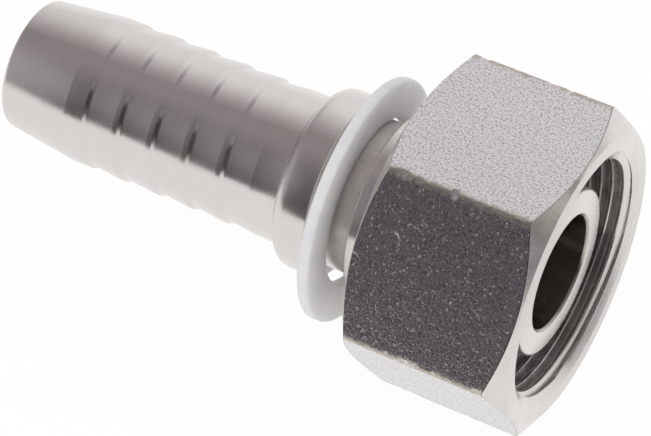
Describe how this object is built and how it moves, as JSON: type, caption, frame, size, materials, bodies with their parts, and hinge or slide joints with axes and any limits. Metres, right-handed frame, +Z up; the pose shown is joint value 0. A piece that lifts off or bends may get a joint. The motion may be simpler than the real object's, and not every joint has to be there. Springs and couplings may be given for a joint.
{
  "type": "straight press fitting",
  "caption": "Straight hydraulic hose fitting: ribbed hose tail with a collar, a sealing cone with a rubber ring, and a loose hexagonal union nut kept on by a soft plastic ring.",
  "frame": {"origin": "under the middle of the whole length, in the plane that the lowest flat of the nut lies on", "axes": "+X along the fitting towards the mouth of the nut, +Z up, one flat of the nut facing straight down"},
  "size_m": [0.101, 0.0576, 0.05],
  "materials": {
    "turned_steel": "turned stainless steel with fine lines round the axis",
    "nut_steel": "stainless steel: finely pitted flats, turned ends and thread",
    "soft_plastic": "milky white, slightly translucent, satin",
    "seal_rubber": "matt black rubber"
  },
  "bodies": {
    "stem": {"hose_stem": "turned_steel", "o_ring": "seal_rubber", "retaining_ring": "soft_plastic"},
    "nut": {"union_nut": "nut_steel"}
  },
  "joints": [
    {"name": "nut_spin", "type": "hinge", "parent": "stem", "child": "nut", "pos_m": [0.036, 0, 0.025], "axis": [1, 0, 0], "continuous": true}
  ]
}
